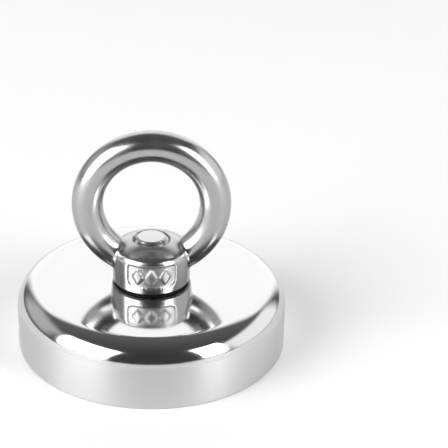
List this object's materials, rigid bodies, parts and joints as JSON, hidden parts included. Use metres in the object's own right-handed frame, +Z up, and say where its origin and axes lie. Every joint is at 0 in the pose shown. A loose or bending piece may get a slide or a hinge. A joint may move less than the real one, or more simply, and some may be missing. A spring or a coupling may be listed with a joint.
{
  "type": "magnet fishing magnet",
  "caption": "Round pot magnet with a cast lifting eye screwed on top, for pulling iron and steel things out of water on a rope.",
  "frame": {"origin": "centre of the pot's open face, where the magnet rests on a flat surface", "axes": "+Z up along the screw, from the open face to the eye; the eye stands in the XZ plane, so its hole runs along Y, and the badge faces -Y"},
  "size_m": [0.06, 0.06, 0.0506],
  "materials": {
    "nickel_plate": "bright nickel plate, mirror top and satin wall",
    "magnet_nickel": "bright nickel plate over sintered magnet",
    "potting_resin": "black potting resin",
    "brass": "turned",
    "screw_stainless": "plain stainless steel",
    "washer_fibre": "black sealing washer",
    "cast_stainless": "cast stainless steel, polished"
  },
  "bodies": {
    "pot_body": {"pot": "nickel_plate", "ring_magnet": "magnet_nickel", "rim_resin": "potting_resin", "glue_layer": "potting_resin", "bore_resin": "potting_resin", "seat_bush": "brass"},
    "screw_body": {"countersunk_screw": "screw_stainless"},
    "washer_body": {"seat_washer": "washer_fibre"},
    "eye_body": {"eye_nut": "cast_stainless"}
  },
  "joints": [
    {"name": "screw_turn", "type": "hinge", "parent": "pot_body", "child": "screw_body", "pos_m": [0, 0, 0], "axis": [0, 0, 1], "continuous": true},
    {"name": "nut_turn", "type": "hinge", "parent": "screw_body", "child": "washer_body", "pos_m": [0, 0, 0.015], "axis": [0, 0, 1], "range_deg": [0, 3241]},
    {"name": "nut_travel", "type": "slide", "parent": "washer_body", "child": "eye_body", "axis": [0, 0, 1], "range_m": [0, 0.01125]}
  ],
  "couplings": [
    {"joint": "nut_turn", "follows": "nut_travel", "rad_per_m": 5026.5}
  ]
}
